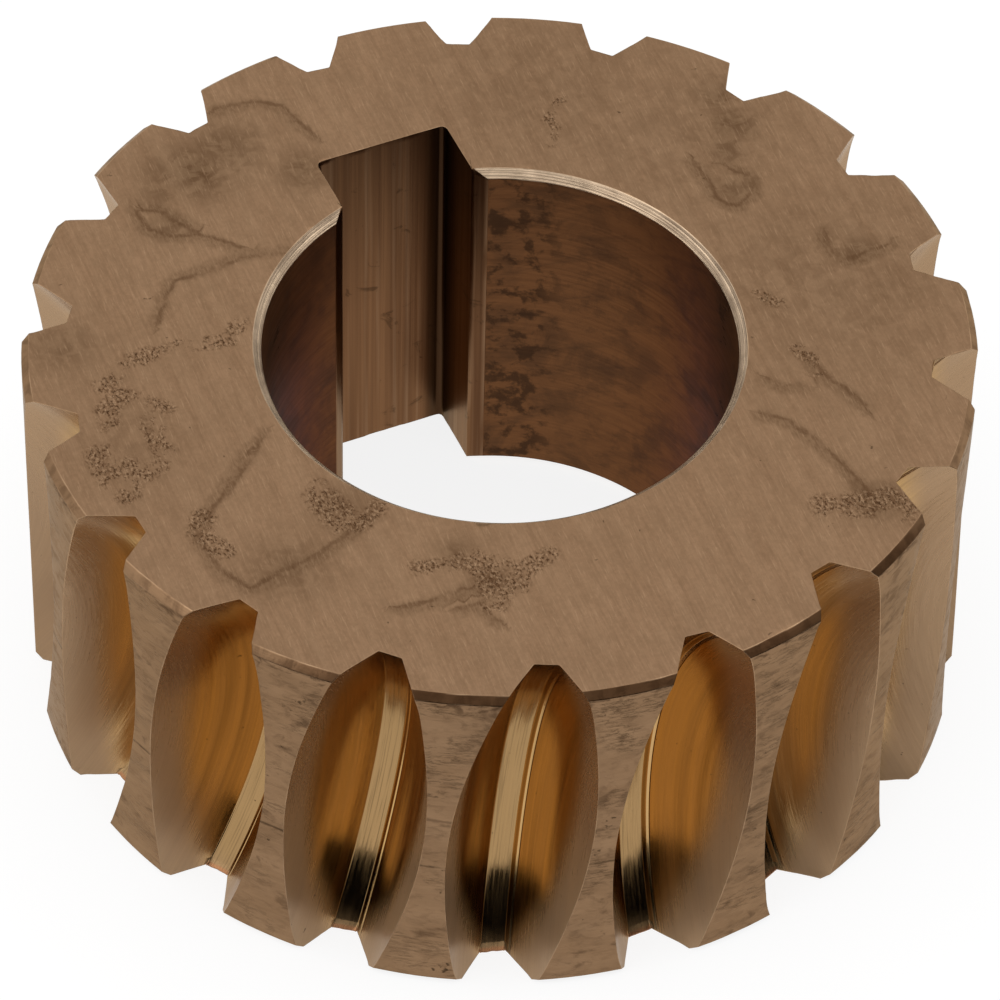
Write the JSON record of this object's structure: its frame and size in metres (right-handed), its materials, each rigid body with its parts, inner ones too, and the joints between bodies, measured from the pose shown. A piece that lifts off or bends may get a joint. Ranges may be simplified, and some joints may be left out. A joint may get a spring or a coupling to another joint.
{
  "type": "worm gear",
  "caption": "Cylindrical worm gear with hobbed concave teeth, a plain bore and a keyway, driven by a worm at right angles to its shaft.",
  "frame": {"origin": "centre of the bore at mid-width", "axes": "+Z along the bore axis, +Y through the middle of the keyway"},
  "size_m": [0.04, 0.04, 0.018],
  "materials": {
    "bronze": "ground side faces, turned rim and bore, hobbed teeth, worn and stained with old oil"
  },
  "bodies": {
    "root": {"worm_gear": "bronze"}
  },
  "joints": []
}
